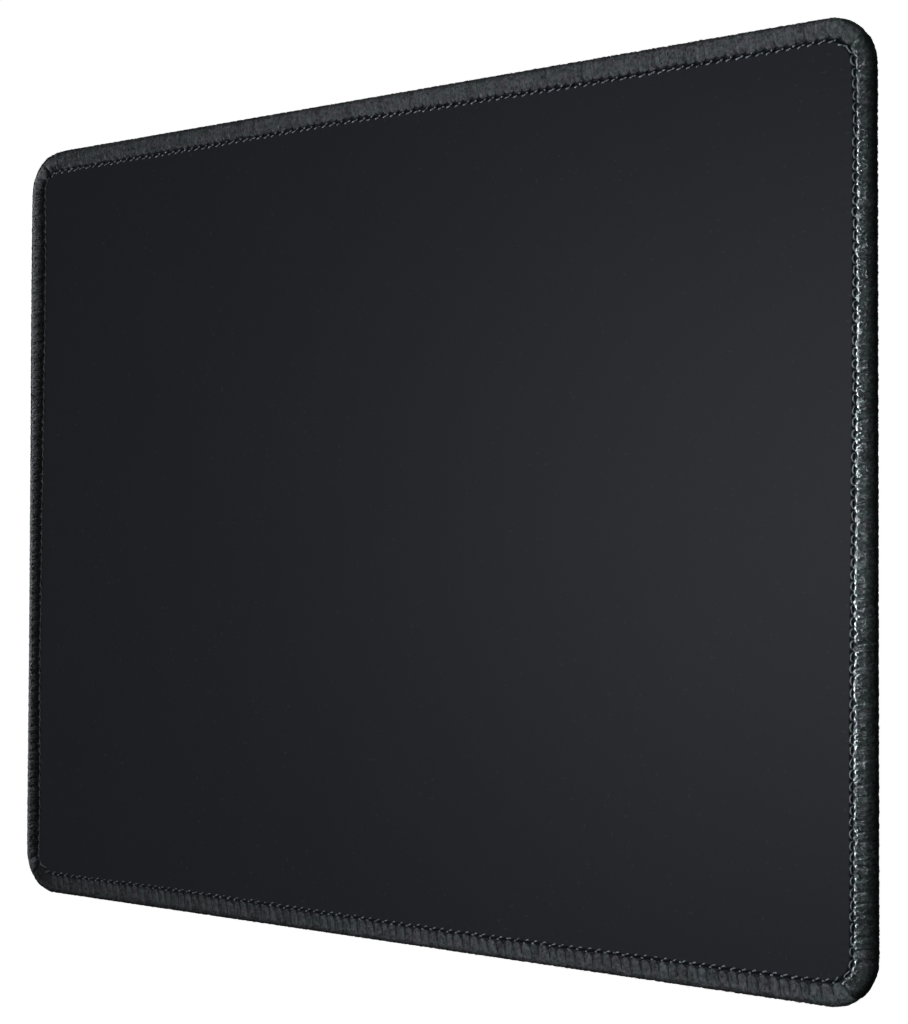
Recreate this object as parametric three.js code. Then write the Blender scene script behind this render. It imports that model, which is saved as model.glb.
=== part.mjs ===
// A cloth mouse pad with an overlocked edge, lying on its foam rubber base with the cloth up.
//
// Millimetres, +Z up. The origin is under the middle of the pad, on the surface that it lies on. X runs
// along the long sides and Y along the short ones.
//
// The pad is a laminate of three layers, cloth on film on rubber, whose rim is pressed thinner by the
// stitches. An overlock seam of three threads wraps the rim: the needle thread runs on the cloth in a
// line, the upper looper thread covers the rim from that line out to the edge, and the lower looper
// thread covers it from below. The two looper threads meet half way down the edge.
//
// Every solid is a stack or a closed loop of rings, and every ring follows the needle line at its own
// distance. The solids are drawn in the pad's own frame, so faces that touch share exact coordinates.

import * as THREE from "three";

// Overall sizes
const padLength = 260;
const padDepth = 210;
const cornerRadius = 11;

// Layers of the laminate
const clothThickness = 0.5;
const filmThickness = 0.1;
const rubberThickness = 2.4;

// Stitches, with the needle line's distance in from the edge
const stitchPitch = 2.47;
const needleInset = 5.2;
const needleThreadWidth = 0.7;
const needleThreadRise = 0.4;
const needleHoleRise = 0.08;
const seamClearance = 0.05;

// Threads that cover the rim, and the groove between two stitches
const sideCover = 0.6;
const topCover = 0.65;
const underCover = 0.4;
const grooveDepth = 0.16;
const deskClearance = 0.1;

// The rim as the stitches press it, with the slope that leads up to the flat cloth
const pressDepth = 0.3;
const slopeMargin = 0.25;
const slopeRun = 1.1;

// Steps of the plain rings
const cornerSteps = 6;
const longSideSteps = 3;
const shortSideSteps = 2;
const stitchesPerThreadStep = 4;

// Heights above the surface that the pad lies on
const filmBottom = rubberThickness;
const clothBottom = filmBottom + filmThickness;
const clothTop = clothBottom + clothThickness;
const pressedTop = clothTop - pressDepth;
const pressedUnder = deskClearance + underCover;
const partingHeight = (pressedTop + pressedUnder) / 2;

// Distances in from the edge
const coverWidth = needleInset - needleThreadWidth / 2 - seamClearance;
const slopeFoot = needleInset + needleThreadWidth / 2 + slopeMargin;
const slopeHead = slopeFoot + slopeRun;

// The needle line: four sides joined by quarter turns about the centres of the pad's corners
const quarterTurn = Math.PI / 2;
const needleRadius = cornerRadius - needleInset;
const cornerX = padLength / 2 - cornerRadius;
const cornerY = padDepth / 2 - cornerRadius;
const turnLength = needleRadius * quarterTurn;

// The four sides in travel order, anticlockwise from above: where each starts, how long it is and the
// angle that it faces. Each is followed by the turn about the corner that it ends at.
const sides = [
  { from: [cornerX, -cornerY], to: [cornerX, cornerY], facing: 0, steps: shortSideSteps },
  { from: [cornerX, cornerY], to: [-cornerX, cornerY], facing: 1, steps: longSideSteps },
  { from: [-cornerX, cornerY], to: [-cornerX, -cornerY], facing: 2, steps: shortSideSteps },
  { from: [-cornerX, -cornerY], to: [cornerX, -cornerY], facing: 3, steps: longSideSteps },
];
for (const side of sides) {
  side.length = Math.hypot(side.to[0] - side.from[0], side.to[1] - side.from[1]);
}
const needleLength = sides.reduce((sum, side) => sum + side.length + turnLength, 0);
const stitchCount = Math.round(needleLength / stitchPitch);

// The point at a station, which is a distance along the needle line, at an inset from the edge
function pointAt(station, inset, height) {
  const outward = needleInset - inset;
  let rest = station;
  for (const side of sides) {
    const angle = side.facing * quarterTurn;
    if (rest < side.length) {
      const share = rest / side.length;
      const x = side.from[0] + (side.to[0] - side.from[0]) * share;
      const y = side.from[1] + (side.to[1] - side.from[1]) * share;
      return ringPoint(x, y, angle, needleRadius + outward, height);
    }
    rest -= side.length;
    if (rest < turnLength) {
      return ringPoint(...side.to, angle + rest / needleRadius, needleRadius + outward, height);
    }
    rest -= turnLength;
  }
  return pointAt(0, inset, height);
}

function ringPoint(x, y, angle, radius, height) {
  return new THREE.Vector3(x + radius * Math.cos(angle), y + radius * Math.sin(angle), height);
}

// Stations of the plain rings: a few along each side, and even steps round each turn
function plainStations(sideSteps) {
  const stations = [];
  let start = 0;
  for (const side of sides) {
    const steps = sideSteps(side);
    for (let i = 0; i < steps; i += 1) {
      stations.push(start + (side.length * i) / steps);
    }
    start += side.length;
    for (let i = 0; i < cornerSteps; i += 1) {
      stations.push(start + (turnLength * i) / cornerSteps);
    }
    start += turnLength;
  }
  return stations;
}

const rimStations = plainStations((side) => side.steps);
const threadStep = stitchPitch * stitchesPerThreadStep;
const threadStations = plainStations((side) => Math.ceil(side.length / threadStep));

// Stations of the stitched rings: two to a stitch, the groove before it and then its crest
const stitchStations = Array.from(
  { length: stitchCount * 2 },
  (_, i) => (needleLength * i) / (stitchCount * 2),
);

// A plain ring at one inset and height
function ring(stations, inset, height) {
  return stations.map((station) => ({ station, point: pointAt(station, inset, height) }));
}

// A stitched ring, whose points lie by turns in a groove and on a crest
function stitchedRing(groove, crest) {
  return stitchStations.map((station, i) => {
    const place = i % 2 ? crest : groove;
    return { station, point: pointAt(station, place.inset, place.height) };
  });
}

// Joins two rings by triangles, going round both at once and stepping on along the one that is behind
function joinRings(corners, first, second) {
  const stationOf = (points, i) => {
    return points[i % points.length].station + needleLength * Math.floor(i / points.length);
  };
  const pointOf = (points, i) => points[i % points.length].point;
  let i = 0;
  let j = 0;
  while (i < first.length || j < second.length) {
    const stepFirst = i < first.length
      && (j === second.length || stationOf(first, i + 1) <= stationOf(second, j + 1));
    if (stepFirst) {
      corners.push(pointOf(first, i), pointOf(first, i + 1), pointOf(second, j));
      i += 1;
    } else {
      corners.push(pointOf(first, i), pointOf(second, j + 1), pointOf(second, j));
      j += 1;
    }
  }
}

// Fills a level ring from its middle; facing is 1 for an upper face and -1 for a lower one
function capRing(corners, points, facing) {
  const middle = new THREE.Vector3(0, 0, points[0].point.z);
  points.forEach(({ point }, i) => {
    const next = points[(i + 1) % points.length].point;
    corners.push(middle, ...(facing > 0 ? [point, next] : [next, point]));
  });
}

function geometryOf(corners) {
  const geometry = new THREE.BufferGeometry().setFromPoints(corners);
  geometry.computeVertexNormals();
  return geometry;
}

// A flat body: rings from its upper face, out over its rim and in again to its lower face
function discOf(rings) {
  const corners = [];
  capRing(corners, rings[0], 1);
  rings.slice(1).forEach((next, i) => joinRings(corners, next, rings[i]));
  capRing(corners, rings[rings.length - 1], -1);
  return geometryOf(corners);
}

// A band that runs all round the rim: rings in order about its section, the last joined to the first
function bandOf(rings) {
  const corners = [];
  rings.forEach((next, i) => joinRings(corners, next, rings[(i + rings.length - 1) % rings.length]));
  return geometryOf(corners);
}

// Half of a layer's outline: level inside, then down the slope to where the stitches press it
function pressedFace(height) {
  return [
    ring(rimStations, slopeHead, height),
    ring(rimStations, slopeFoot, height - pressDepth),
    ring(rimStations, sideCover, height - pressDepth),
  ];
}

// Cloth, the top layer
function clothTopGeometry() {
  return discOf([...pressedFace(clothTop), ...pressedFace(clothBottom).reverse()]);
}

// Film of hot glue between the cloth and the rubber
function bondingFilmGeometry() {
  return discOf([...pressedFace(clothBottom), ...pressedFace(filmBottom).reverse()]);
}

// Foam rubber, pressed from above and from below along the rim
function rubberBaseGeometry() {
  return discOf([
    ...pressedFace(filmBottom),
    ring(rimStations, sideCover, pressedUnder),
    ring(rimStations, slopeFoot, pressedUnder),
    ring(rimStations, slopeHead, 0),
  ]);
}

// Where the two looper threads meet, half way down the edge
const partingRing = () => stitchedRing(
  { inset: grooveDepth, height: partingHeight },
  { inset: 0, height: partingHeight },
);

// The rounded section of the covering threads, in shares: across from the edge to the seam, and off the
// rim by the thickness of the cover
const upperRollShares = [
  { across: 1, off: 0 },
  { across: 0.9, off: 0.68 },
  { across: 0.52, off: 1 },
  { across: 0.1, off: 0.5 },
];
const lowerRollShares = [
  { across: 0.1, off: 0.9 },
  { across: 0.92, off: 1 },
];

// A stitched ring on a roll of thread that rises from a face by up to its cover; facing is 1 or -1
function rollRing({ across, off }, face, cover, facing) {
  const crest = { inset: across * coverWidth, height: face + facing * off * cover };
  const groove = {
    inset: grooveDepth + across * (coverWidth - 2 * grooveDepth),
    height: face + facing * off * (cover - grooveDepth),
  };
  return stitchedRing(groove, crest);
}

// Upper looper thread, over the cloth and down the edge to the parting
function upperLooperGeometry() {
  return bandOf([
    ...upperRollShares.map((shares) => rollRing(shares, pressedTop, topCover, 1)),
    partingRing(),
    ring(rimStations, sideCover, partingHeight),
    ring(rimStations, sideCover, pressedTop),
  ]);
}

// Lower looper thread, from the parting down the edge and in under the rubber
function lowerLooperGeometry() {
  return bandOf([
    partingRing(),
    ...lowerRollShares.map((shares) => rollRing(shares, pressedUnder, underCover, -1)),
    ring(rimStations, coverWidth, pressedUnder),
    ring(rimStations, sideCover, pressedUnder),
    ring(rimStations, sideCover, partingHeight),
  ]);
}

// Needle thread, a chain that swells in each stitch and sinks at each needle hole
function needleThreadGeometry() {
  const halfWidth = needleThreadWidth / 2;
  return bandOf([
    ring(threadStations, needleInset + halfWidth, pressedTop),
    stitchedRing(
      { inset: needleInset, height: pressedTop + needleHoleRise },
      { inset: needleInset, height: pressedTop + needleThreadRise },
    ),
    ring(threadStations, needleInset - halfWidth, pressedTop),
  ]);
}

// Finishes, as colour, roughness and metalness
const clothFinish = { color: 0x232427, roughness: 0.85, metalness: 0 };
const filmFinish = { color: 0x8c8c86, roughness: 0.6, metalness: 0 };
const rubberFinish = { color: 0x1a1a1b, roughness: 0.9, metalness: 0 };
const looperFinish = { color: 0x3a3b3d, roughness: 0.8, metalness: 0 };
const needleFinish = { color: 0x4c4d50, roughness: 0.6, metalness: 0 };

function piece(name, geometry, finish) {
  const mesh = new THREE.Mesh(geometry, new THREE.MeshStandardMaterial(finish));
  mesh.name = name;
  return mesh;
}

const laminate = new THREE.Group();
laminate.add(
  piece("cloth_top", clothTopGeometry(), clothFinish),
  piece("bonding_film", bondingFilmGeometry(), filmFinish),
  piece("rubber_base", rubberBaseGeometry(), rubberFinish),
);

const overlockSeam = new THREE.Group();
overlockSeam.add(
  piece("upper_looper_thread", upperLooperGeometry(), looperFinish),
  piece("lower_looper_thread", lowerLooperGeometry(), looperFinish),
  piece("needle_thread", needleThreadGeometry(), needleFinish),
);

const mousePad = new THREE.Group();
mousePad.add(laminate, overlockSeam);

export default mousePad;
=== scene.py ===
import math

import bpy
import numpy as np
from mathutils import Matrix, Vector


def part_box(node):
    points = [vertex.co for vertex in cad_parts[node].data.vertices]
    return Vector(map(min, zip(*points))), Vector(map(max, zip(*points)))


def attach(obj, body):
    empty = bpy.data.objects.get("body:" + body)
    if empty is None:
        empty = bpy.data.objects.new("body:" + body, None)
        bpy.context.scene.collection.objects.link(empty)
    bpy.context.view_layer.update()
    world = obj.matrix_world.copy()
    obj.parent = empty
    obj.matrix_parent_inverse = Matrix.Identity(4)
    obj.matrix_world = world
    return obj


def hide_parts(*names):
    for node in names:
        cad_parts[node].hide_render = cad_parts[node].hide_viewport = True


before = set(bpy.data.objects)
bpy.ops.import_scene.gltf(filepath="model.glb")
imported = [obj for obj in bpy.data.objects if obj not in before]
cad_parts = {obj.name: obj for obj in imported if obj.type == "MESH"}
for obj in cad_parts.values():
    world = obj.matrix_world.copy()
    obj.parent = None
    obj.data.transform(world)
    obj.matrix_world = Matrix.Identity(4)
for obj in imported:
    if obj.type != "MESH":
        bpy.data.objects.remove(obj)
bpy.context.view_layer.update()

# A cloth mouse pad with an overlocked edge: the looks of every layer and thread, over the packed
# solids. Metres, +Z up, the pad lying on its rubber base with the cloth up.
#
# A station is a distance along the needle line. An inset is a distance in from the pad's edge. A
# wrap says how far round the rim a point lies, from 0 at the seam to 1 half way down the edge,
# where the two looper threads meet.

MM = 0.001
rng = np.random.default_rng(23)

# Sizes read from the solids

cover_low, cover_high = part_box("upper_looper_thread")
HALF_LENGTH = cover_high[0]
HALF_DEPTH = cover_high[1]
PARTING = cover_low[2]
ROLL_TOP = cover_high[2]
ROLL_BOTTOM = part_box("lower_looper_thread")[0][2]
CLOTH_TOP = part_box("cloth_top")[1][2]
RIM_INSET = HALF_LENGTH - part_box("cloth_top")[1][0]
PRESSED_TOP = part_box("needle_thread")[0][2]
FILM_LOW, FILM_HIGH = (corner[2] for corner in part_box("bonding_film"))
PRESS_DEPTH = CLOTH_TOP - PRESSED_TOP
CLOTH_BOTTOM = FILM_HIGH
RUBBER_TOP = FILM_LOW + PRESS_DEPTH

# Sizes that the part's source names

CORNER_RADIUS = 11 * MM
NEEDLE_INSET = 5.2 * MM
COVER_WIDTH = 4.8 * MM
STITCH_PITCH = 2.47 * MM
PRESSED_UNDER = ROLL_BOTTOM + 0.4 * MM
SLOPE_FOOT = 5.8 * MM
SLOPE_HEAD = 6.9 * MM

# The needle line: four sides joined by quarter turns

TURN_RADIUS = CORNER_RADIUS - NEEDLE_INSET
TURN = TURN_RADIUS * math.pi / 2
CORNERS = np.array([(1, -1), (1, 1), (-1, 1), (-1, -1)]) * (
    HALF_LENGTH - CORNER_RADIUS,
    HALF_DEPTH - CORNER_RADIUS,
)
SIDE_LENGTHS = np.linalg.norm(np.roll(CORNERS, -1, axis=0) - CORNERS, axis=1)
SIDE_STARTS = np.concatenate([[0], np.cumsum(SIDE_LENGTHS + TURN)])
NEEDLE_LENGTH = SIDE_STARTS[-1]
STITCHES = round(NEEDLE_LENGTH / STITCH_PITCH)
PITCH = NEEDLE_LENGTH / STITCHES
SIDE_NAMES = ("right", "back", "left", "front")
RIGHT, LEFT, FRONT = 0, 2, 3

# How far before a side's end its own form starts to fade

FADE_LEAD = 3 * MM

# How far the hole line wanders inward of its even place, in millimetres, at stations along it

SEAM_DRIFT = (
    (0, 0.0), (50, 0.0), (90, -0.45), (115, -0.75), (180, -1.0), (208, -0.1),
    (254, 0.3), (336, -0.2), (380, 0.3), (426, 0.4), (463, 1.0), (488, 0.95),
    (513, 0.6), (538, 0.35), (578, 0.1), (623, 0.5), (650, -0.2), (690, 0.05),
    (730, -0.35), (780, -0.75), (811, -0.55), (868, -0.25),
)


def unit(vectors):
    return vectors / np.maximum(np.linalg.norm(vectors, axis=-1, keepdims=True), 1e-12)


def ease(low, high, value):
    """Smooth step from 0 at low to 1 at high."""
    share = np.clip((value - low) / (high - low), 0, 1)
    return share * share * (3 - 2 * share)


def bell(middle, width, value):
    """Smooth bump, 1 at its middle."""
    return np.exp(-(((value - middle) / width) ** 2))


def rail(station, inset, height):
    """Points at stations along the needle line, each at an inset and a height."""
    station = np.mod(station, NEEDLE_LENGTH)
    station, inset, height = np.broadcast_arrays(station, inset, height)
    side = np.clip(np.searchsorted(SIDE_STARTS, station, "right") - 1, 0, 3)
    run = station - SIDE_STARTS[side]
    share = np.minimum(run / SIDE_LENGTHS[side], 1)[..., None]
    centre = CORNERS[side] * (1 - share) + CORNERS[(side + 1) % 4] * share
    angle = side * math.pi / 2 + np.maximum(run - SIDE_LENGTHS[side], 0) / TURN_RADIUS
    radius = CORNER_RADIUS - inset
    x = centre[..., 0] + radius * np.cos(angle)
    y = centre[..., 1] + radius * np.sin(angle)
    return np.stack([x, y, height], axis=-1)


def drift(station):
    """How far the seam lies inward of its even place."""
    stations, shifts = np.array(SEAM_DRIFT).T * MM
    return np.interp(station, stations, shifts, period=NEEDLE_LENGTH)


def along_side(side, station):
    """1 along one side of the pad, falling to 0 over the turns at its ends."""
    middle = SIDE_STARTS[side] + SIDE_LENGTHS[side] / 2
    half_way = NEEDLE_LENGTH / 2
    apart = np.abs(np.mod(station - middle + half_way, NEEDLE_LENGTH) - half_way)
    return 1 - ease(-FADE_LEAD, TURN, apart - SIDE_LENGTHS[side] / 2)


def side_stitches(side):
    """The whole stitches of a side and of the half turns at both of its ends."""
    first = round((SIDE_STARTS[side] - TURN / 2) / PITCH)
    last = round((SIDE_STARTS[side + 1] - TURN / 2) / PITCH)
    return np.arange(first, last)


def rings_of(stations, profile):
    """A ring of points round the pad for each inset and height of a profile."""
    return np.stack([rail(stations, inset, height) for inset, height in profile])


# Meshes

PLAIN_TONE = 0.5
THREAD_PIECES = []


class Form:
    """Gathers grids, caps and tubes, with a tone for each point, into one smooth mesh."""

    def __init__(self):
        self.points = []
        self.tones = []
        self.faces = []
        self.count = 0

    def _add(self, points, tones, faces):
        self.points.append(points.reshape(-1, 3))
        self.tones.append(np.broadcast_to(tones, points.shape[:-1]).ravel())
        self.faces += (faces + self.count).tolist()
        self.count += len(self.points[-1])

    def grid(self, points, tones=PLAIN_TONE, closed=False):
        """A sheet of quads through points[row, column]; a closed one joins each row's two ends."""
        rows, columns = points.shape[:2]
        index = np.arange(rows * columns).reshape(rows, columns)
        if closed:
            index = np.hstack([index, index[:, :1]])
        corners = [index[:-1, :-1], index[:-1, 1:], index[1:, 1:], index[1:, :-1]]
        self._add(points, tones, np.stack(corners, axis=-1).reshape(-1, 4))

    def cap(self, ring):
        """One face that fills a ring of points."""
        self._add(ring, PLAIN_TONE, np.arange(len(ring))[None])

    def tubes(self, paths, radii, sides, beside, tones):
        """Tubes along paths[tube, step], whose sections start from the direction beside them."""
        along = unit(np.gradient(paths, axis=1))
        up = unit(np.cross(beside, along))
        flank = np.cross(along, up)
        angles = np.arange(sides)[:, None] * 2 * math.pi / sides
        spokes = np.cos(angles) * flank[..., None, :] + np.sin(angles) * up[..., None, :]
        radii = np.broadcast_to(radii, paths.shape[:2])[..., None, None]
        points = paths[..., None, :] + radii * spokes
        tubes, steps = paths.shape[:2]
        index = np.arange(tubes * steps * sides).reshape(tubes, steps, sides)
        after = np.roll(index, -1, axis=2)
        corners = [index[:, :-1], after[:, :-1], after[:, 1:], index[:, 1:]]
        tones = np.broadcast_to(tones, paths.shape[:2])[..., None]
        self._add(points, tones, np.stack(corners, axis=-1).reshape(-1, 4))

    def piece(self, name, material, slot):
        """Makes the object, which rides on the part's one body and has the given finish; pieces of
        a thread slot join the list of thread pieces.
        """
        mesh = bpy.data.meshes.new(name)
        mesh.from_pydata(np.concatenate(self.points), [], self.faces)
        tone = mesh.attributes.new("tone", "FLOAT", "POINT")
        tone.data.foreach_set("value", np.concatenate(self.tones).astype(np.float32))
        mesh.shade_smooth()
        mesh.materials.append(material)
        made = bpy.data.objects.new(name, mesh)
        bpy.context.scene.collection.objects.link(made)
        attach(made, "root")
        if slot.endswith("thread"):
            THREAD_PIECES.append(made)
        return made


# Materials

class Value:
    """A socket that plain arithmetic can be done on: each step adds a Math node."""

    def __init__(self, finish, socket):
        self.finish = finish
        self.socket = socket

    def _math(self, operation, *values):
        return self.finish.node("ShaderNodeMath", {"operation": operation}, *values)

    def __add__(self, other):
        return self._math("ADD", self, other)

    def __sub__(self, other):
        return self._math("SUBTRACT", self, other)

    def __rsub__(self, other):
        return self._math("SUBTRACT", other, self)

    def __mul__(self, other):
        return self._math("MULTIPLY", self, other)

    def __truediv__(self, other):
        return self._math("DIVIDE", self, other)

    def sine(self):
        return self._math("SINE", self)

    def fraction(self):
        return self._math("FRACT", self)

    def floor(self):
        return self._math("FLOOR", self)

    def over(self, other):
        return self._math("MAXIMUM", self, other)

    def above(self, other):
        return self._math("GREATER_THAN", self, other)

    __radd__ = __add__
    __rmul__ = __mul__


class Finish:
    """A material with one Principled shader, whose plain numbers go straight on its sockets."""

    def __init__(self, name, **numbers):
        self.material = bpy.data.materials.new(name)
        self.material.use_nodes = True
        self.tree = self.material.node_tree
        self.shader = self.tree.nodes["Principled BSDF"]
        for socket, number in numbers.items():
            self.shader.inputs[socket.replace("_", " ")].default_value = number

    def node(self, kind, settings, *values, output=0, **named):
        """Adds a node: its settings first, then the values or links of its sockets."""
        made = self.tree.nodes.new(kind)
        for setting, value in settings.items():
            setattr(made, setting, value)
        for socket, value in [*enumerate(values), *named.items()]:
            self.feed(made.inputs[socket], value)
        return Value(self, made.outputs[output])

    def feed(self, socket, value):
        if isinstance(value, Value):
            self.tree.links.new(value.socket, socket)
        else:
            socket.default_value = value

    def set(self, socket, value):
        self.feed(self.shader.inputs[socket], value)

    def place(self):
        """The place on the piece, in millimetres."""
        metres = self.node("ShaderNodeTexCoord", {}, output="Object")
        return self.node("ShaderNodeVectorMath", {"operation": "SCALE"}, metres, Scale=1 / MM)

    def axes(self, place):
        made = self.tree.nodes.new("ShaderNodeSeparateXYZ")
        self.feed(made.inputs[0], place)
        return [Value(self, output) for output in made.outputs]

    def noise(self, place, scale, detail, roughness=0.5):
        """Noise whose scale is in patches to a millimetre."""
        numbers = {"Scale": scale, "Detail": detail, "Roughness": roughness}
        return self.node("ShaderNodeTexNoise", {}, Vector=place, **numbers)

    def tone(self):
        return self.node("ShaderNodeAttribute", {"attribute_name": "tone"}, output="Fac")

    def blend(self, share, dark, light, kind="MIX"):
        """A colour that goes from dark to light by a share, or mixes them in another way."""
        made = self.tree.nodes.new("ShaderNodeMix")
        made.data_type = "RGBA"
        made.blend_type = kind
        self.feed(made.inputs["Factor"], share)
        self.feed(made.inputs[6], dark)
        self.feed(made.inputs[7], light)
        return Value(self, made.outputs[2])

    def bump(self, height, distance, strength):
        return self.node("ShaderNodeBump", {}, Height=height, Distance=distance, Strength=strength)


def colour(red, green, blue):
    return (red, green, blue, 1.0)


def cloth_finish():
    """Fine woven polyester: two crossing sets of yarns, soft blotches and a few lighter specks."""
    yarn_pitch = 0.34
    sunk = 0.35
    speck_level = 0.8
    cloth = Finish("woven_cloth", Specular_IOR_Level=0.1)
    place = cloth.place()
    x, y, _ = cloth.axes(place)
    across = x / yarn_pitch
    down = y / yarn_pitch
    odd = ((across.floor() + down.floor()) * 0.5).fraction() * 2
    warp = (across.fraction() * math.pi).sine() * (sunk + (1 - sunk) * odd)
    weft = (down.fraction() * math.pi).sine() * (1 - (1 - sunk) * odd)
    weave = warp.over(weft)
    blotches = cloth.noise(place, 0.03, 3.0)
    flecks = cloth.noise(place, 2.2, 4.0, 0.7)
    specks = cloth.noise(place, 1.1, 0.0).above(speck_level)
    share = 0.32 * weave + 0.25 * blotches + 0.5 * flecks - 0.08
    plain = cloth.blend(share, colour(0.0079, 0.0084, 0.0104), colour(0.0152, 0.0161, 0.0196))
    cloth.set("Base Color", cloth.blend(specks * 0.2, plain, colour(0.06, 0.065, 0.07)))
    cloth.set("Roughness", 0.39 + 0.08 * flecks)
    cloth.set("Normal", cloth.bump(weave + 0.5 * flecks, 0.02 * MM, 0.4))
    return cloth.material


def thread_finish(name, dark, light, roughness, gloss):
    """Polyester thread: tones by strand and by small clumps, with fine filaments."""
    greenish = colour(0.87, 1.05, 0.96)
    reddish = colour(1.08, 0.98, 1.06)
    right_from, right_to = 114.0, 124.0
    thread = Finish(name, Specular_IOR_Level=gloss)
    place = thread.place()
    x, _, _ = thread.axes(place)
    clumps = thread.noise(place, 1.4, 3.0, 0.7)
    filaments = thread.noise(place, 7.0, 3.0, 0.7)
    share = 0.8 * thread.tone() + 2.6 * clumps + 0.6 * filaments - 1.49
    right_end = thread.node("ShaderNodeMapRange", {}, x, right_from, right_to)
    warmth = 2.8 * thread.noise(place, 0.45, 2.0, 0.6) - 0.8 - 0.4 * right_end
    plain = thread.blend(share, dark, light)
    tint = thread.blend(warmth, greenish, reddish)
    thread.set("Base Color", thread.blend(1.0, plain, tint, "MULTIPLY"))
    thread.set("Roughness", roughness - 0.1 + 0.2 * filaments)
    thread.set("Normal", thread.bump(filaments, 0.04 * MM, 0.5))
    return thread.material


def rubber_finish():
    """Black foam rubber with fine open cells."""
    dark, light = colour(0.009, 0.009, 0.0095), colour(0.022, 0.022, 0.023)
    rubber = Finish("foam_rubber", Roughness=0.8, Specular_IOR_Level=0.35)
    place = rubber.place()
    cells = rubber.node("ShaderNodeTexVoronoi", {}, Vector=place, Scale=3.5)
    grain = rubber.noise(place, 1.4, 4.0, 0.65)
    rubber.set("Base Color", rubber.blend(grain, dark, light))
    rubber.set("Roughness", 0.7 + 0.2 * grain)
    rubber.set("Normal", rubber.bump(cells + 0.6 * grain, 0.05 * MM, 0.5))
    return rubber.material


def film_finish():
    """Milky hot glue film with small bubbles."""
    dark, light = colour(0.28, 0.28, 0.25), colour(0.42, 0.42, 0.38)
    film = Finish("glue_film", Roughness=0.45)
    bubbles = film.node("ShaderNodeTexVoronoi", {}, Vector=film.place(), Scale=0.8)
    film.set("Base Color", film.blend(bubbles, dark, light))
    film.set("Normal", film.bump(bubbles, 0.05 * MM, 0.4))
    return film.material


CLOTH = cloth_finish()
COVER_THREAD = thread_finish(
    "looper_thread",
    dark=colour(0.013, 0.0133, 0.0136),
    light=colour(0.064, 0.0655, 0.0668),
    roughness=0.6,
    gloss=0.04,
)
SEAM_THREAD = thread_finish(
    "needle_thread",
    dark=colour(0.04, 0.042, 0.044),
    light=colour(0.14, 0.145, 0.15),
    roughness=0.45,
    gloss=0.2,
)
RUBBER = rubber_finish()
FILM = film_finish()


# Cloth: it rises from under the seam to its level face, with a valley pulled in along the seam, a
# needle hole to each stitch and a slight pucker between them. Valley and holes are shallower on
# the right.

CLOTH_RISE = (NEEDLE_INSET - 0.1 * MM, NEEDLE_INSET + 0.7 * MM)
VALLEY_INSET = NEEDLE_INSET - 0.2 * MM
VALLEY_SLOPE = (0.1 * MM, 0.6 * MM)
VALLEY_DEPTH = 0.28 * MM
RIGHT_SHALLOWER = 0.6
HOLE_PHASE = 0.96
HOLE_DEPTH = 0.4 * MM
HOLE_LENGTH = 0.4 * MM
HOLE_WIDTH = 0.3 * MM
PUCKER_DEPTH = 0.006 * MM
PUCKER_END = (6.2 * MM, 9 * MM)
DRIFT_START = (2 * MM, 4 * MM)
DRIFT_END = (7 * MM, 9 * MM)
STEPS_PER_STITCH = 8
CLOTH_INSETS = (
    9.6, 8.8, 8.0, 7.3, 6.8, 6.5, 6.25, 6.05, 5.85,
    5.65, 5.45, 5.3, 5.15, 5.0, 4.8, 4.5, 3.9, 2.2,
)


def cloth_height(station, inset):
    """Height of the cloth at an inset from which the seam's drift is taken off."""
    slope = ease(*CLOTH_RISE, inset)
    shallow = 1 - RIGHT_SHALLOWER * along_side(RIGHT, station)
    valley = VALLEY_DEPTH * shallow * (1 - ease(*VALLEY_SLOPE, np.abs(inset - VALLEY_INSET)))
    stitch = station / PITCH - HOLE_PHASE
    beside = (stitch - np.round(stitch)) * PITCH
    hole = bell(0, HOLE_LENGTH, beside) * bell(NEEDLE_INSET, HOLE_WIDTH, inset)
    pucker = np.cos(2 * math.pi * stitch) * slope * (1 - ease(*PUCKER_END, inset))
    pressed = PRESS_DEPTH * (1 - slope) + valley + HOLE_DEPTH * shallow * hole
    return CLOTH_TOP - pressed - PUCKER_DEPTH * pucker


def cloth_top():
    stations = np.arange(STITCHES * STEPS_PER_STITCH) * PITCH / STEPS_PER_STITCH
    upper = []
    for inset in np.array(CLOTH_INSETS) * MM:
        shift = drift(stations) * ease(*DRIFT_START, inset) * (1 - ease(*DRIFT_END, inset))
        upper.append(rail(stations, inset + shift, cloth_height(stations, inset)))
    pressed_bottom = PRESSED_TOP - (CLOTH_TOP - CLOTH_BOTTOM)
    rim = rings_of(stations, (
        (RIM_INSET + 0.6 * MM, PRESSED_TOP - 0.03 * MM),
        (RIM_INSET + 0.2 * MM, PRESSED_TOP - 0.15 * MM),
        (RIM_INSET, PRESSED_TOP - 0.4 * MM),
        (RIM_INSET, pressed_bottom),
        (SLOPE_FOOT, pressed_bottom),
        (SLOPE_HEAD, CLOTH_BOTTOM),
    ))
    rings = np.concatenate([upper, rim])
    cloth = Form()
    cloth.cap(rings[0])
    cloth.grid(rings[::-1], closed=True)
    cloth.cap(rings[-1, ::-1])
    made = cloth.piece("cloth_surface", CLOTH, "cloth")
    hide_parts("cloth_top")
    return made


# Foam rubber, with a waved grip pattern pressed into its underside. Each row of the pattern is a
# share of the way across a wave, with its lift from 0 in the groove to 1 on the ridge.

GRIP_PITCH = 3.2 * MM
GRIP_DEPTH = 0.16 * MM
GRIP_WAVE = 7 * MM
GRIP_SWING = 0.9 * MM
GRIP_STEP = 1.1 * MM
GRIP_MARGIN = 8.2 * MM
GRIP_STILL = 2 * MM
GRIP_RUN_OUT = 1.2 * MM
GRIP_ROWS = ((0.0, 0.0), (0.3, 0.0), (0.45, 1.0), (0.85, 1.0))
RUBBER_ROUNDING = 0.1 * MM


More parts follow.
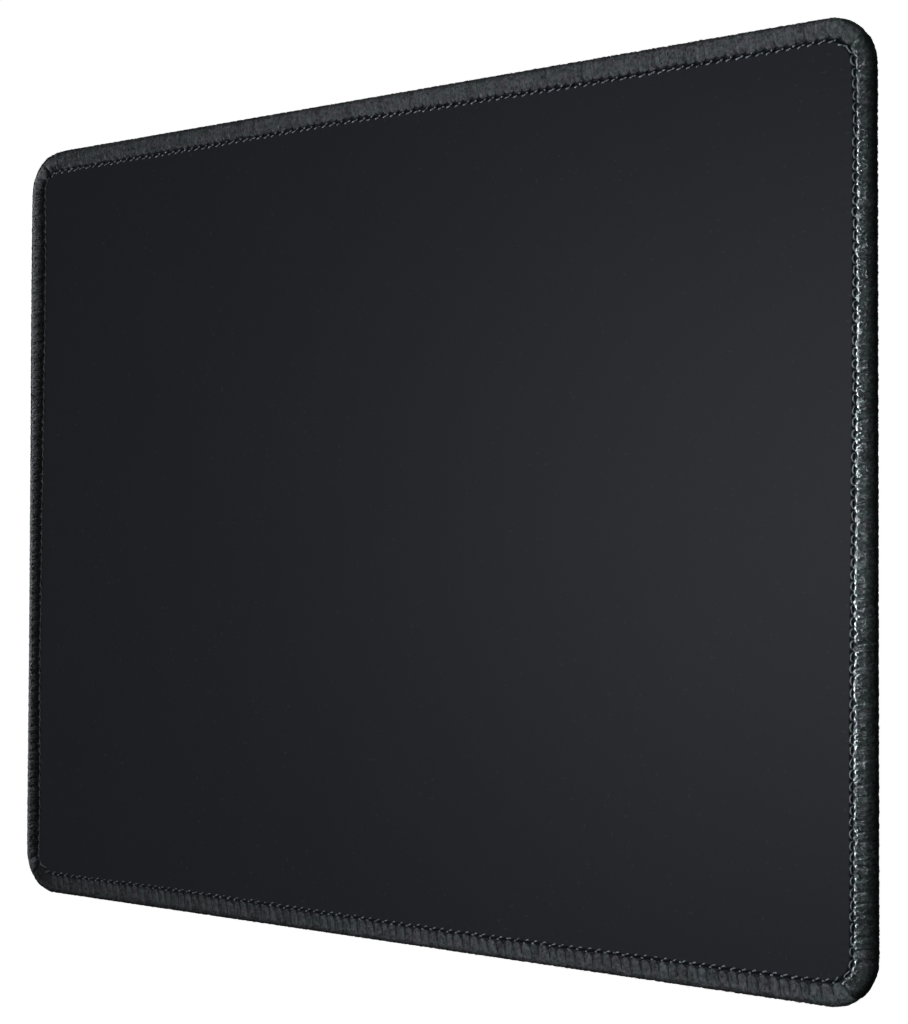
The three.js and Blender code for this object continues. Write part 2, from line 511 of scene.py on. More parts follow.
def rubber_base():
    pressed_top = RUBBER_TOP - PRESS_DEPTH
    rings = rings_of(np.arange(STITCHES) * PITCH, (
        (SLOPE_HEAD, RUBBER_TOP),
        (SLOPE_FOOT, pressed_top),
        (RIM_INSET + RUBBER_ROUNDING, pressed_top),
        (RIM_INSET, pressed_top - RUBBER_ROUNDING),
        (RIM_INSET, PRESSED_UNDER + RUBBER_ROUNDING),
        (RIM_INSET + RUBBER_ROUNDING, PRESSED_UNDER),
        (SLOPE_FOOT - 0.7 * MM, PRESSED_UNDER),
        (SLOPE_FOOT, PRESSED_UNDER - 0.15 * MM),
        (SLOPE_HEAD, 0.03 * MM),
        (SLOPE_HEAD + 0.4 * MM, 0),
        (GRIP_MARGIN - 0.6 * MM, 0),
        (GRIP_MARGIN - 0.3 * MM, GRIP_DEPTH + 0.02 * MM),
    ))
    rubber = Form()
    rubber.cap(rings[0])
    rubber.grid(rings[::-1], closed=True)
    rubber.cap(rings[-1, ::-1])

    reach_x = HALF_LENGTH - GRIP_MARGIN
    reach_y = HALF_DEPTH - GRIP_MARGIN
    waves = round(2 * reach_y / GRIP_PITCH)
    rows = [(wave + share, lift) for wave in range(waves) for share, lift in GRIP_ROWS]
    place, lift = np.array(rows).T[..., None]
    level = place / waves * 2 - 1
    x = np.linspace(-reach_x, reach_x, round(2 * reach_x / GRIP_STEP))
    swing = GRIP_SWING * np.sin(2 * math.pi * x / GRIP_WAVE)
    still = np.minimum(1, (1 - np.abs(level)) * reach_y / GRIP_STILL)
    y = level * reach_y + swing * still
    z = GRIP_DEPTH * (1 - lift * ease(0, GRIP_RUN_OUT, reach_x - np.abs(x)))
    rubber.grid(np.stack(np.broadcast_arrays(x, y, z), axis=-1)[::-1])
    made = rubber.piece("rubber_underlay", RUBBER, "rubber")
    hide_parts("rubber_base")
    return made


# Looper threads: a lobe to each stitch, under a mat of crimped strands. The crest ends the rise
# from the seam, and the crown starts the fall to the edge.

CREST_INSET = 3.9 * MM
CROWN_INSET = 2.2 * MM
CREST_WRAP = 0.28
CROWN_WRAP = 0.48
RISE_ROUNDNESS = 0.65
LOBE_PHASE = 0.35
LOBE_FULLNESS = 2.3
LEAN = 0.3
WRAP_REACH = 7 * MM
UPPER_WRAPS = np.concatenate([
    np.linspace(0, 0.34, 9),
    [0.41, 0.48, 0.54],
    np.linspace(0.58, 0.76, 7),
    [0.84, 0.92, 1],
])
LOWER_WRAPS = np.concatenate([np.linspace(0, CREST_WRAP, 5), np.linspace(0.42, 1, 6)])

# Notches between the lobes: deep at their inner ends, and a shallow groove from there on

NOTCH_LENGTH = 1.1 * MM
NOTCH_FROM, NOTCH_TO = 0.2, 0.48
GROOVE_INSET = 0.08 * MM

# Fine ridges on the lobes, the wraps over which the seam's drift dies out, and how much less high
# than wide a fibre stands off the edge

RIDGE_HEIGHT = 0.03 * MM
RIDGES_ACROSS, RIDGES_ROUND = 6, 11
DRIFT_FROM, DRIFT_TO = 0.1, 0.9
EDGE_FLATTER = 0.8

# On the left side the lobes are flatter and nearly closed, with their crest far out, and the
# seam's drift dies out sooner and turns back. On the front one the notches are longer and deeper.

LEFT_CREST_OUT = 1.4 * MM
LEFT_CROWN_IN = 0.2 * MM
LEFT_BULGE = 0.15 * MM
LEFT_CLOSED = 0.75
LEFT_GROOVE = 0.02 * MM
LEFT_DRIFT_BACK = 0.35
LEFT_FROM_SOONER, LEFT_TO_SOONER = 0.1, 0.4
FRONT_TIP = 0.15 * MM
FRONT_DEEPER = 0.7
FRONT_LONGER = 0.8
FRONT_REACH = 0.12

# On the rear part of the left side, and round its turn, the cover is drawn in by a trough along
# the edge. The left side's tones, a painted light on it and a painted shade on the pieces beside
# it, start and end at the joints of its pieces, in the middle of the turns.

LEFT_START, LEFT_END = (np.round((SIDE_STARTS[2:4] - TURN / 2) / PITCH) - 0.5) * PITCH
REAR_LEAD = 6 * MM
REAR_END = (72 * MM, 84 * MM)
REAR_DRAWN_IN = 0.42 * MM
TROUGH_WRAP, TROUGH_WIDTH = 0.67, 0.06
# Where the painted highlight runs along the rear left crest, and its width, in wraps
REAR_CREST_WRAP, REAR_CREST_WIDTH = 0.4, 0.12

# Tones: what each of these takes off, or adds to the crest. Painted shade darkens the outer edge
# and the trough, painted light and shade meet at the left side's joints, and a painted highlight
# lightens the crest; the stitches' own tones differ at random. The waves of the stitches' own
# tones are in radians to a metre.

EDGE_SHADE = 0.7
EDGE_FROM, EDGE_TO = 0.55, 0.9
RIGHT_EDGE_SOONER = 0.2
TURN_LIGHT_AND_SHADE = 0.6
TURN_REACH = 8 * MM
TURN_WRAPS = (0.4, 0.6)
STITCH_OWN_TONE = 0.12
STITCH_WAVE, STITCH_SWING = 1900, 700
TROUGH_SHADE = 2.6
REAR_CREST_LIGHT = 1.1


def rear_left(station):
    """1 on the rear part of the left side and round its turn, where the cover is drawn in."""
    station = np.mod(station, NEEDLE_LENGTH)
    started = ease(LEFT_START - REAR_LEAD, LEFT_START, station)
    return started * (1 - ease(*REAR_END, station - SIDE_STARTS[LEFT]))


def trough(station, wrap):
    """The fine trough along the rear left edge: 1 in its middle."""
    return rear_left(station) * bell(TROUGH_WRAP, TROUGH_WIDTH, wrap)


def shade(stitch, wrap):
    """A tone to take off: painted shade out at the edge and in the trough, painted light and shade
    round the turns to the left side, a painted highlight on the rear left crest, and each stitch's
    own random tone.
    """
    station = np.mod(stitch * PITCH, NEEDLE_LENGTH)
    within = np.minimum(station - LEFT_START, LEFT_END - station)
    near = 1 - ease(0, TURN_REACH, np.abs(within))
    # Painted light and shade: near the joints in the turns the left side's pieces are lighter and
    # the pieces beside them darker, on the inner part of the rim
    turning = np.where(within < 0, near, -near) * (1 - ease(*TURN_WRAPS, wrap))
    # Each stitch's own tone, which differs at random
    own = np.sin(station * STITCH_WAVE + np.sin(station * STITCH_SWING))
    # Where the painted highlight lies, on the crest of the rear left side
    crest = rear_left(station) * bell(REAR_CREST_WRAP, REAR_CREST_WIDTH, wrap)
    # Painted shade darkens the trough, and a painted highlight lightens the crest
    painted_trough_and_crest = TROUGH_SHADE * trough(station, wrap) - REAR_CREST_LIGHT * crest
    # Painted shade: the thread is darker out towards the edge, starting nearer the seam on the
    # right side
    edge = ease(EDGE_FROM - RIGHT_EDGE_SOONER * along_side(RIGHT, station), EDGE_TO, wrap)
    return EDGE_SHADE * edge + TURN_LIGHT_AND_SHADE * turning + STITCH_OWN_TONE * own + painted_trough_and_crest


class Cover:
    """One looper thread's side of the rim, from its foot at the seam round to the parting."""

    def __init__(self, foot, top, notch, groove, roundness, trough_depth=0.0, fuller=0.0):
        self.foot = foot
        self.top = top
        self.notch = notch
        self.groove = groove
        self.roundness = roundness
        self.trough_depth = trough_depth
        self.fuller = fuller
        self.tips = rng.uniform(-0.05, 0.3, STITCHES) * MM
        self.swells = rng.uniform(-0.07, 0.04, STITCHES) * MM
        self.bounds = rng.uniform(-0.08, 0.08, STITCHES)
        self.bends = rng.uniform(-0.12, 0.12, STITCHES)
        self.phases = rng.uniform(0, 2 * math.pi, STITCHES)

    def roll(self, wrap, width, top, side, left, roundness):
        """The rounded section: the inset and height at a wrap."""
        crest = CREST_INSET - LEFT_CREST_OUT * left
        crown = CROWN_INSET + LEFT_CROWN_IN * left
        rise = np.clip(wrap / CREST_WRAP, 0, 1) * math.pi / 2
        level = np.clip((wrap - CREST_WRAP) / (CROWN_WRAP - CREST_WRAP), 0, 1)
        fall = np.clip((wrap - CROWN_WRAP) / (1 - CROWN_WRAP), 0, 1.1) * math.pi / 2
        run = np.cos(rise) * (1 - left) + (1 - rise * 2 / math.pi) * left
        inner = crest + (width - crest) * run - (crest - crown) * level
        outer = side + (crown - side) * (1 - np.sin(fall) ** roundness)
        rise_roundness = RISE_ROUNDNESS + (1 - RISE_ROUNDNESS) * left
        climb = self.foot + (top - self.foot) * np.sin(rise) ** rise_roundness
        past = np.sign(np.cos(fall))
        drop = PARTING + (top - PARTING) * past * np.abs(np.cos(fall)) ** roundness
        return np.where(wrap < CROWN_WRAP, inner, outer), np.where(wrap < CROWN_WRAP, climb, drop)

    def bound(self, stitch, wrap):
        """Where a stitch starts, in stitches: it leans and bends from the seam out to the edge."""
        index = np.mod(stitch, STITCHES)
        bend = self.bends[index] * np.sin(wrap * math.pi)
        return stitch - LOBE_PHASE + self.bounds[index] + LEAN * wrap + bend

    def surface(self, stitch, across, wrap, lift=0.0):
        """Points on the lobes, lifted off them; across runs from -1 to 1 over a stitch."""
        index = np.mod(stitch, STITCHES)
        up = np.sign(self.top - self.foot)
        start = self.bound(stitch, wrap)
        station = (start + (self.bound(stitch + 1, wrap) - start) * (across + 1) / 2) * PITCH
        left = along_side(LEFT, station)
        front = along_side(FRONT, station)
        rear = rear_left(station)

        later = FRONT_REACH * front
        notched = 1 - ease(NOTCH_FROM + later, NOTCH_TO + later, wrap)
        depth = self.groove + (self.notch - self.groove) * notched
        deep = self.top - up * depth * (1 - LEFT_CLOSED * left + FRONT_DEEPER * front)
        crest = self.top + up * self.swells[index]
        tip = COVER_WIDTH + self.tips[index] + FRONT_TIP * front
        root = tip - NOTCH_LENGTH * (1 - LEFT_CLOSED * left + FRONT_LONGER * front)
        side = REAR_DRAWN_IN * rear - LEFT_BULGE * left
        groove_side = side + GROOVE_INSET - LEFT_GROOVE * left
        roundness = self.roundness - self.fuller * rear
        crest_inset, crest_height = self.roll(wrap, tip, crest, side, left, roundness)
        groove_inset, groove_height = self.roll(wrap, root, deep, groove_side, left, roundness)
        swell = (1 - np.abs(across) ** LOBE_FULLNESS) ** 0.5
        inset = groove_inset + (crest_inset - groove_inset) * swell
        height = groove_height + (crest_height - groove_height) * swell

        phase = self.phases[index]
        swing = np.sin(wrap * RIDGES_ROUND + phase)
        ridges = RIDGE_HEIGHT * np.sin(across * RIDGES_ACROSS + swing + phase)
        off = lift + ridges * swell - self.trough_depth * trough(station, wrap)
        drift_from = DRIFT_FROM - LEFT_FROM_SOONER * left
        drift_to = DRIFT_TO - LEFT_TO_SOONER * left
        held = (1 + LEFT_DRIFT_BACK * left) * ease(drift_from, drift_to, wrap)
        shift = drift(np.mod(station, NEEDLE_LENGTH)) * (1 - held)
        outward = ease(CROWN_WRAP, 1, wrap)
        height = height + up * off * (1 - EDGE_FLATTER * outward)
        return rail(station, inset + shift - off * outward, height)


UPPER = Cover(
    foot=PRESSED_TOP - 0.15 * MM,
    top=ROLL_TOP - 0.1 * MM,
    notch=0.75 * MM,
    groove=0.24 * MM,
    roundness=1.0,
    trough_depth=0.5 * MM,
    fuller=0.35,
)
LOWER = Cover(
    foot=PRESSED_UNDER + 0.05 * MM,
    top=ROLL_BOTTOM + 0.04 * MM,
    notch=0.3 * MM,
    groove=0.08 * MM,
    roundness=0.5,
)


def lobes(cover, stitches, steps, wraps, up):
    """The surface of the lobes, from groove to groove."""
    across = np.linspace(-1, 1, steps + 1)
    wraps = wraps[:, None]
    columns = [cover.surface(stitch, across[:-1], wraps) for stitch in stitches]
    columns.append(cover.surface(stitches[-1], across[-1:], wraps))
    points = np.concatenate(columns, axis=1)
    tones = 0.4 - shade(np.append(np.repeat(stitches, steps), stitches[-1]), wraps)
    form = Form()
    form.grid(points if up else points[:, ::-1], tones if up else tones[:, ::-1])
    return form


# Strands and fibres of the threads: thin tubes with three sides, each at home anywhere on its lobe
# but in the groove beside it

FIBRE_SIDES = 3
HOME = 0.95
OFF_AXIS = (0.31, 0.43, 0.85)
RIPPLE_WAVES = 3
RIPPLE_PEAK = 1.2
STRAND_END = 1.06
STRAND_SLANT = 0.4
STRAND_WANDER = 0.22
STRAND_SUNK = 0.3
STRAND_TIP = 0.3
ALMOST_ACROSS = 0.98
NOTCH_ROOM = 0.2
NOTCH_ROOM_END = (0.35, 0.55)


def ripples(shape, run, slowest, fastest):
    """Smooth random waves along run, one row for each of a column, mostly within -1 to 1."""
    total = 0
    for _ in range(RIPPLE_WAVES):
        turns = rng.uniform(slowest, fastest, shape)
        total = total + np.sin((run * turns + rng.uniform(0, 1, shape)) * 2 * math.pi)
    return total / RIPPLE_WAVES ** 0.5 / RIPPLE_PEAK


def off_notches(across, wrap):
    """Keeps fibres off the notches between the lobes' inner ends."""
    room = NOTCH_ROOM * (1 - ease(*NOTCH_ROOM_END, wrap))
    return np.clip(across, -ALMOST_ACROSS, ALMOST_ACROSS) * (1 - room)


def strands(form, cover, stitches, count, steps, radius, depth):
    """Crimped strands that wander over the lobes, from the seam past the parting."""
    stitch = np.repeat(stitches, count)[:, None]
    shape = stitch.shape
    wrap = np.linspace(0.0, STRAND_END, steps)[None]
    home = rng.uniform(-HOME, HOME, shape)
    slant = rng.normal(0, STRAND_SLANT, shape) * (wrap - 0.5)
    wander = STRAND_WANDER * ripples(shape, wrap, 1.0, 7.0)
    across = off_notches(home + slant + wander, wrap)
    floating = 0.5 + 0.5 * np.clip(ripples(shape, wrap, 2.0, 7.0), -1, 1)
    lift = depth * floating - radius * STRAND_SUNK
    paths = cover.surface(stitch, across, wrap, lift)
    forward = unit(cover.surface(stitch, across + 0.02, wrap, lift) - paths)
    taper = np.ones(steps)
    taper[[0, -1]] = STRAND_TIP
    # Painted light and shade: strands are lighter where they float up and darker where they dip
    # into the mat; their tones also differ at random
    tones = rng.uniform(0.25, 0.45, shape) + 0.4 * floating - shade(stitch, wrap)
    radii = radius * taper * rng.uniform(0.7, 1.2, shape)
    form.tubes(paths, radii, FIBRE_SIDES, forward, tones)


def crimps(form, cover, stitches, count, radius, highest):
    """Short crimped fibres that lie every way over the lobes, for a soft, mottled face."""
    stitch = np.repeat(stitches, count)[:, None]
    shape = stitch.shape
    run = np.linspace(-0.5, 0.5, 7)
    length = rng.uniform(0.5, 1.8, shape) * MM
    heading = rng.uniform(0, 2 * math.pi, shape) + run * rng.normal(0, 3.0, shape)
    across = rng.uniform(-HOME, HOME, shape) + run * np.cos(heading) * length / (PITCH / 2)
    wrap = rng.uniform(0.01, 1.0, shape) + run * np.sin(heading) * length / WRAP_REACH
    arch = np.cos(run * math.pi) * rng.uniform(0.02 * MM, highest, shape)
    wrap = np.clip(wrap, 0.0, 1.05)
    paths = cover.surface(stitch, off_notches(across, wrap), wrap, arch - radius)
    tones = rng.uniform(0.0, 1.1, shape) - shade(stitch, wrap)
    form.tubes(paths, radius * rng.uniform(0.6, 1.3, shape), FIBRE_SIDES, OFF_AXIS, tones)


def curls(form, stitches, count, radius):
    """Longer curled fibres that stand off the lobes and catch a low light."""
    stitch = np.repeat(stitches, count)[:, None]
    shape = stitch.shape
    steps = 9
    run = np.linspace(0, 1, steps)
    heading = math.pi / 2 + rng.normal(0, 0.7, shape)
    heading = heading + np.cumsum(rng.normal(0, 0.45, (len(stitch), steps)), axis=1)
    step = rng.uniform(1.0, 2.6, shape) * MM / (steps - 1)
    sideways = np.cumsum(np.cos(heading), axis=1) * step / (PITCH / 2)
    across = rng.uniform(-HOME, HOME, shape) + sideways
    wrap = rng.uniform(0.05, 0.5, shape) + np.cumsum(np.sin(heading), axis=1) * step / WRAP_REACH
    lift = np.sin(run * math.pi) * rng.uniform(0.1, 0.4, shape) * MM - radius
    wrap = np.clip(wrap, 0.02, 1.0)
    paths = UPPER.surface(stitch, off_notches(across, wrap), wrap, lift)
    tones = rng.uniform(0.4, 1.2, shape) - shade(stitch, wrap)
    form.tubes(paths, radius * rng.uniform(0.7, 1.2, shape), FIBRE_SIDES, OFF_AXIS, tones)


def loose_fibres(form, stitches, count, radius):
    """Fine fibres that stand off the lobes and thin out to their ends."""
    stitch = np.repeat(stitches, count)[:, None]
    shape = stitch.shape
    run = np.linspace(0, 1, 6)
    across = rng.uniform(-HOME, HOME, shape)
    wrap = rng.uniform(0.02, 0.98, shape)
    heading = rng.uniform(0, 2 * math.pi, shape) + run * rng.normal(0, 1.5, shape)
    length = rng.gamma(3.0, 0.25, shape) * MM
    reach = run * length / (3 * MM)
    rise = 0.25 * length * np.sin(run * math.pi * 0.8) * rng.uniform(0.1, 1, shape)
    across = np.clip(across + np.cos(heading) * reach * 1.5, -1, 1)
    wrap = np.clip(wrap + np.sin(heading) * reach * 0.5, 0.01, 1.0)
    paths = UPPER.surface(stitch, across, wrap, 0.08 * MM + rise)
    radii = radius * np.linspace(1, 0.4, len(run))
    form.tubes(paths, radii, FIBRE_SIDES, OFF_AXIS, rng.uniform(0.3, 1, shape))


# Strands to a stitch of the upper cover, and how far they float: few and sunk on the left side

LEFT_STRANDS = (2, -0.02 * MM)
OTHER_STRANDS = (4, 0.08 * MM)


def looper_covers():
    """Both covers, in four pieces each: one to a side, with half of the turn at each end."""
    for side, name in enumerate(SIDE_NAMES):
        stitches = side_stitches(side)
        upper = lobes(UPPER, stitches, steps=14, wraps=UPPER_WRAPS, up=True)
        count, depth = LEFT_STRANDS if side == LEFT else OTHER_STRANDS
        strands(upper, UPPER, stitches, count, steps=28, radius=0.07 * MM, depth=depth)
        made = upper.piece(f"upper_looper_{name}", COVER_THREAD, "cover_thread")
        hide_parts("upper_looper_thread")
        lower = lobes(LOWER, stitches, steps=12, wraps=LOWER_WRAPS, up=False)
        strands(lower, LOWER, stitches, count=5, steps=16, radius=0.08 * MM, depth=0.08 * MM)
        crimps(lower, LOWER, stitches, count=12, radius=0.06 * MM, highest=0.14 * MM)
        made = lower.piece(f"lower_looper_{name}", COVER_THREAD, "cover_thread")
        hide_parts("lower_looper_thread")


# Fuzz of the upper looper thread. For each side: crimped, curled and loose fibres to a stitch, and
# how high the crimped ones arch, in millimetres.

FUZZ_BY_SIDE = {
    "right": (28, 10, 10, 0.14),
    "back": (28, 10, 10, 0.14),
    "left": (8, 1, 3, 0.05),
    "front": (14, 5, 8, 0.08),
}


def fuzz():
    for side, name in enumerate(SIDE_NAMES):
        stitches = side_stitches(side)
        form = Form()
        crimped, curled, loose, highest = FUZZ_BY_SIDE[name]
        crimps(form, UPPER, stitches, crimped, radius=0.08 * MM, highest=highest * MM)
        curls(form, stitches, curled, radius=0.065 * MM)
        loose_fibres(form, stitches, loose, radius=0.022 * MM)
        form.piece(f"looper_fuzz_{name}", COVER_THREAD, "cover_thread")


# Needle thread: a stitch between one hole and the next, twisted from three plies. Each course
# gives the place along the stitch, as a share of it, and the millimetres inward and up from the
# needle line.

SLANTED = np.array([
    (0.08, 0.34, -0.35), (0.12, 0.38, 0.02), (0.18, 0.46, 0.16),
    (0.26, 0.56, 0.26), (0.35, 0.66, 0.33), (0.43, 0.74, 0.35),
    (0.51, 0.81, 0.30), (0.57, 0.85, 0.08), (0.60, 0.86, -0.35),
])
BOWED = np.array([
    (0.08, 0.00, -0.35), (0.11, 0.07, 0.05), (0.20, 0.20, 0.24),
    (0.32, 0.29, 0.32), (0.48, 0.33, 0.35), (0.64, 0.29, 0.32),
    (0.76, 0.20, 0.24), (0.85, 0.07, 0.05), (0.88, 0.00, -0.35),
])
LEVEL = np.array([
    (0.06, 0.00, -0.35), (0.10, 0.02, 0.05), (0.20, 0.06, 0.20),
    (0.35, 0.10, 0.28), (0.50, 0.14, 0.32), (0.65, 0.17, 0.28),
    (0.80, 0.20, 0.20), (0.90, 0.22, 0.05), (0.94, 0.23, -0.35),
])
COURSES = {"right": BOWED, "back": SLANTED, "left": LEVEL, "front": SLANTED}
# The needle thread's tone on each side: lighter on the right and left than on the back and front,
# a painted light for how the light falls on each side
STITCH_TONE_AND_PAINTED_LIGHT = {"right": 0.8, "back": 0.35, "left": 0.8, "front": 0.35}
PLY_RADIUS = 0.09 * MM
PLY_OFFSET = 0.075 * MM
PLY_SIDES = 6
PLY_TURNS = 1.4
PLIES = 3
STITCH_STEPS = 15

# Rows of beads: where they lie in each stitch, then the millimetres inward and up from the needle
# line, their length and their width. On the right there are two rows of two to a stitch, high on
# the lobes' ends.

RIGHT_BEADS = (
    ((-0.22, 0.26), -1.08, 0.44, 1.1, 0.52),
    ((-0.07, 0.41), -1.45, 0.5, 0.7, 0.3),
)
OTHER_BEADS = (((0.0,), 0.16, 0.32, 0.42, 0.4),)
BEAD_DROP = 0.2 * MM
BEAD_PLY_AHEAD = 0.04 * MM
BEAD_PLY_LOWER = 0.06 * MM
BEAD_PLY_WIDTH = 0.28


def needle_floats():
    """The stitches that lie on the cloth, each a little different, in four pieces."""
    steps = np.linspace(0, 1, STITCH_STEPS)
    middle_share = np.sin(math.pi * steps)
    for side, name in enumerate(SIDE_NAMES):
        if side == RIGHT:
            swell = 1.0 + 0.25 * middle_share
        else:
            swell = 0.55 + 0.7 * ease(0, 0.75, steps)
        course = COURSES[name]
        shares = np.linspace(0, 1, len(course))
        along, off, rise = (np.interp(steps, shares, row) for row in course.T)
        stitches = side_stitches(side)[:, None]
        shape = stitches.shape
        height = PRESSED_TOP + rise * MM + rng.normal(0, 0.03 * MM, shape) * middle_share
        station = (stitches + along + rng.normal(0, 0.02, shape)) * PITCH
        reach = rng.normal(0, 0.07 * MM, shape) * middle_share
        bowed = 0.5 + 0.5 * along_side(RIGHT, station) if side == RIGHT else 1
        inset = NEEDLE_INSET + bowed * off * MM + reach + drift(np.mod(station, NEEDLE_LENGTH))
        middle = rail(station, inset, height)
        tangent = unit(np.gradient(middle, axis=1))
        flank = unit(np.cross(tangent, (0, 0, 1)))
        above = np.cross(flank, tangent)
        form = Form()
        for ply in range(PLIES):
            turn = (steps * PLY_TURNS + ply / PLIES + rng.uniform(0, 1, shape)) * 2 * math.pi
            around = np.cos(turn)[..., None] * flank + np.sin(turn)[..., None] * above
            paths = middle + PLY_OFFSET * swell[:, None] * around
            # The side's tone with its painted light, and a random tone to each stitch
            tones = STITCH_TONE_AND_PAINTED_LIGHT[name] + 0.5 * rng.uniform(0, 1, shape)
            form.tubes(paths, PLY_RADIUS * swell, PLY_SIDES, flank, tones)
        made = form.piece(f"needle_stitches_{name}", SEAM_THREAD, "seam_thread")
        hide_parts("needle_thread")


def beads(form, stitches, inset, height, length, width):
    """Small bent beads of three plies, where the needle thread comes up round each looper loop."""
    bend = np.linspace(-1, 1, 9)
    bow = np.cos(bend * math.pi / 2)
    shape = (len(stitches), 1)
    stitch = stitches[:, None] + rng.normal(0, 0.04, shape)
    size = rng.uniform(0.55, 1.2, shape)
    off = rng.normal(0, 0.12 * MM, shape)
    rise = rng.normal(0, 0.04 * MM, shape)
    for ply in (-1, 0, 1):
        along = stitch * PITCH + length / 2 * bend * size + ply * BEAD_PLY_AHEAD
        across = inset + off + (bow - 0.5 + 0.5 * ply * bow) * width / 2
        up = height + rise + (bow - 1) * BEAD_DROP - abs(ply) * BEAD_PLY_LOWER
        paths = rail(along, across + drift(np.mod(along, NEEDLE_LENGTH)), up)
        tones = rng.uniform(-0.2, 0.95, shape)
        form.tubes(paths, width * BEAD_PLY_WIDTH, PLY_SIDES, (0.0, 0.0, 1.0), tones)


def needle_loops():
    """The rows of beads, in four pieces."""
    for side, name in enumerate(SIDE_NAMES):
        form = Form()
        for places, off, rise, length, width in RIGHT_BEADS if side == RIGHT else OTHER_BEADS:
            stitches = (side_stitches(side)[:, None] + places).ravel()
            inset, height = NEEDLE_INSET + off * MM, PRESSED_TOP + rise * MM
            beads(form, stitches, inset, height, length * MM, width * MM)
        form.piece(f"needle_loops_{name}", SEAM_THREAD, "seam_thread")


cloth = cloth_top()
rubber = rubber_base()
looper_covers()
needle_floats()
needle_loops()
fuzz()
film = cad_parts["bonding_film"]
film.data.materials.clear()
film.data.materials.append(FILM)


# Camera, as the photograph was taken

CAMERA_PLACE = np.array((304.1, -11.3, 388.3)) * MM
CAMERA_AIM = np.array((21.2, 0.6, 3.0)) * MM
CAMERA_ROLL = math.radians(0.19)
CAMERA_LENS = 69.72


def aimed(name, data, place, right, up):
    """Adds a camera or light at a place, which faces away from right x up."""
    made = bpy.data.objects.new(name, data)
    axes = np.column_stack([right, up, np.cross(right, up)])
    made.matrix_world = Matrix.Translation(place) @ Matrix(axes.tolist()).to_4x4()
    bpy.context.scene.collection.objects.link(made)
    return made


def camera():
    forward = unit(CAMERA_AIM - CAMERA_PLACE)
    level = unit(np.cross(forward, (0, 1, 0)))
    upright = np.cross(level, forward)
    right = level * math.cos(CAMERA_ROLL) + upright * math.sin(CAMERA_ROLL)
    data = bpy.data.cameras.new("camera")
    data.lens = CAMERA_LENS
    data.clip_start = 0.01
    made = aimed("camera", data, CAMERA_PLACE, right, np.cross(right, forward))
    bpy.context.scene.camera = made


# Lights: the place, aim and size of each. A softbox lights the sheets, and each side's threads
# have their own low and high lights.

LIGHT_COLOUR = (0.95, 0.99, 1.06)
KEY = ((-0.24, 0.02, 0.93), (0.06, 0, 0), (0.4, 0.4))
FAR_LEFT = ((-2.954, 0, 0.521), (0, 0, 0), (0.5, 1.2))
HIGH = ((0.15, 0.35, 0.5), (0.08, 0, 0), (0.3, 0.3))
MIDDLE = ((0.06, 0, 0.15), (0.06, 0, 0), (0.06, 0.06))
RIGHT_END = ((0.17, 0, 0.25), (0.13, 0, 0), (0.1, 0.3))
RIGHT_RAKE = ((-0.5, 0, 0.028), (0.13, 0, 0.003), (0.02, 0.1))
LEFT_RIDGE = ((-0.5, 0.1, 0.08), (-0.13, 0.01, 0), (0.1, 0.5))
ABOVE_LEFT = ((-0.2, 0, 0.8), (-0.13, 0, 0), (0.4, 0.4))
RAKE_BEAM = 24

# Watts of the lights that three of the sides share: far left, high, middle and right end

SIDE_POWERS = {
    "right": (128.0, 1.0, 0.24, 0.0),
    "back": (145.0, 1.7, 0.24, 0.6),
    "front": (14.0, 0.22, 0.15, 1.1),
}


def area_light(name, setting, power, pieces, beam=180):
    """A soft light that lights only the named pieces; its beam is in degrees."""
    place, aim, size = setting
    data = bpy.data.lights.new(name, "AREA")
    data.shape = "RECTANGLE"
    data.size, data.size_y = size
    data.energy = power
    data.spread = math.radians(beam)
    data.color = LIGHT_COLOUR
    backward = unit(np.array(place) - np.array(aim))
    right = unit(np.cross((0, 1, 0), backward))
    made = aimed(name, data, place, right, np.cross(backward, right))
    lit = bpy.data.collections.new(name + "_lit")
    for piece in pieces:
        lit.objects.link(piece)
    made.light_linking.receiver_collection = lit
    made.visible_camera = False


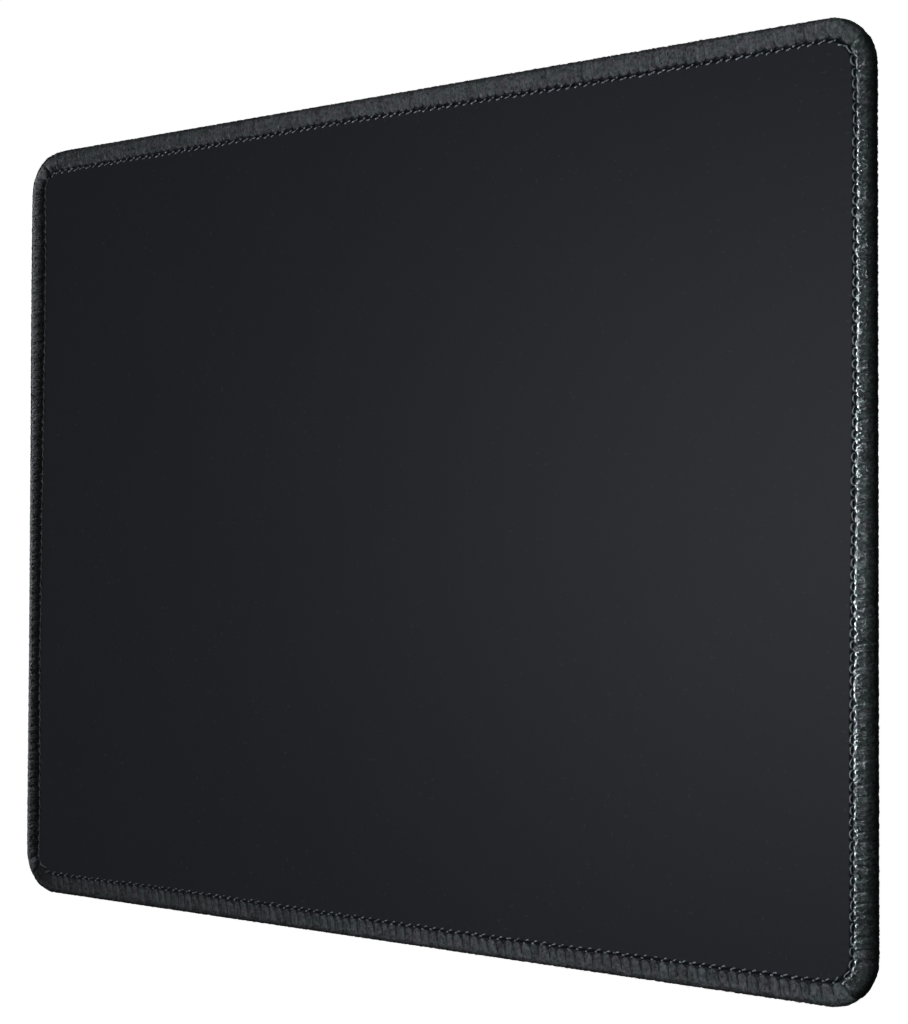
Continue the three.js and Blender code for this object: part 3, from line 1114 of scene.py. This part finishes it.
def lights():
    on_side = {name: [] for name in SIDE_NAMES}
    for piece in THREAD_PIECES:
        on_side[piece.name.rsplit("_", 1)[1]].append(piece)
    left_covers = [piece for piece in on_side["left"] if "looper" in piece.name]
    left_seam = [piece for piece in on_side["left"] if "needle" in piece.name]
    right_looped = [piece for piece in on_side["right"] if "stitches" not in piece.name]
    area_light("key_softbox", KEY, power=5.7, pieces=[cloth, rubber, film])
    for name, (far_left, high, middle, right_end) in SIDE_POWERS.items():
        area_light(name + "_far_left", FAR_LEFT, far_left, on_side[name])
        area_light(name + "_high", HIGH, high, on_side[name])
        area_light(name + "_middle", MIDDLE, middle, on_side[name])
        if right_end:
            area_light(name + "_right_end", RIGHT_END, right_end, on_side[name])
    area_light("right_rake", RIGHT_RAKE, power=2.0, pieces=right_looped, beam=RAKE_BEAM)
    area_light("ridge_softbox", LEFT_RIDGE, power=4.3, pieces=left_covers)
    area_light("left_far_left", FAR_LEFT, power=6.0, pieces=left_covers)
    area_light("left_fill", ABOVE_LEFT, power=0.25, pieces=left_covers)
    area_light("left_seam", ABOVE_LEFT, power=2.6, pieces=left_seam)


# A white floor and backdrop, which the camera sees but the pad isn't lit by, and a dim even sky

ROOM_REACH = 4.0
FLOOR_HEIGHT = -0.02 * MM
SKY_STRENGTH = 0.08


def room():
    paint = Finish("floor_paint", Roughness=0.9, Emission_Strength=1.0)
    paint.set("Base Color", colour(0.8, 0.8, 0.8))
    paint.set("Emission Color", colour(1.0, 1.0, 1.0))
    corners = [(-ROOM_REACH, -ROOM_REACH), (ROOM_REACH, -ROOM_REACH),
               (ROOM_REACH, ROOM_REACH), (-ROOM_REACH, ROOM_REACH)]
    low = [(x, y, FLOOR_HEIGHT) for x, y in corners]
    high = [(x, y, ROOM_REACH) for x, y in corners]
    walls = [(i, (i + 1) % 4, (i + 1) % 4 + 4, i + 4) for i in range(4)]
    for name, points, faces in (
        ("floor", low, [(0, 1, 2, 3)]),
        ("backdrop", low + high, walls),
    ):
        mesh = bpy.data.meshes.new(name)
        mesh.from_pydata(points, [], faces)
        mesh.materials.append(paint.material)
        made = bpy.data.objects.new(name, mesh)
        bpy.context.scene.collection.objects.link(made)
        made.visible_diffuse = False
        made.visible_glossy = False
        made.visible_shadow = name == "floor"

    world = bpy.data.worlds.new("studio")
    bpy.context.scene.world = world
    world.use_nodes = True
    sky = world.node_tree.nodes["Background"]
    sky.inputs["Color"].default_value = colour(0.9, 0.95, 1.0)
    sky.inputs["Strength"].default_value = SKY_STRENGTH


camera()
room()
lights()
bpy.context.scene.view_settings.view_transform = "Standard"
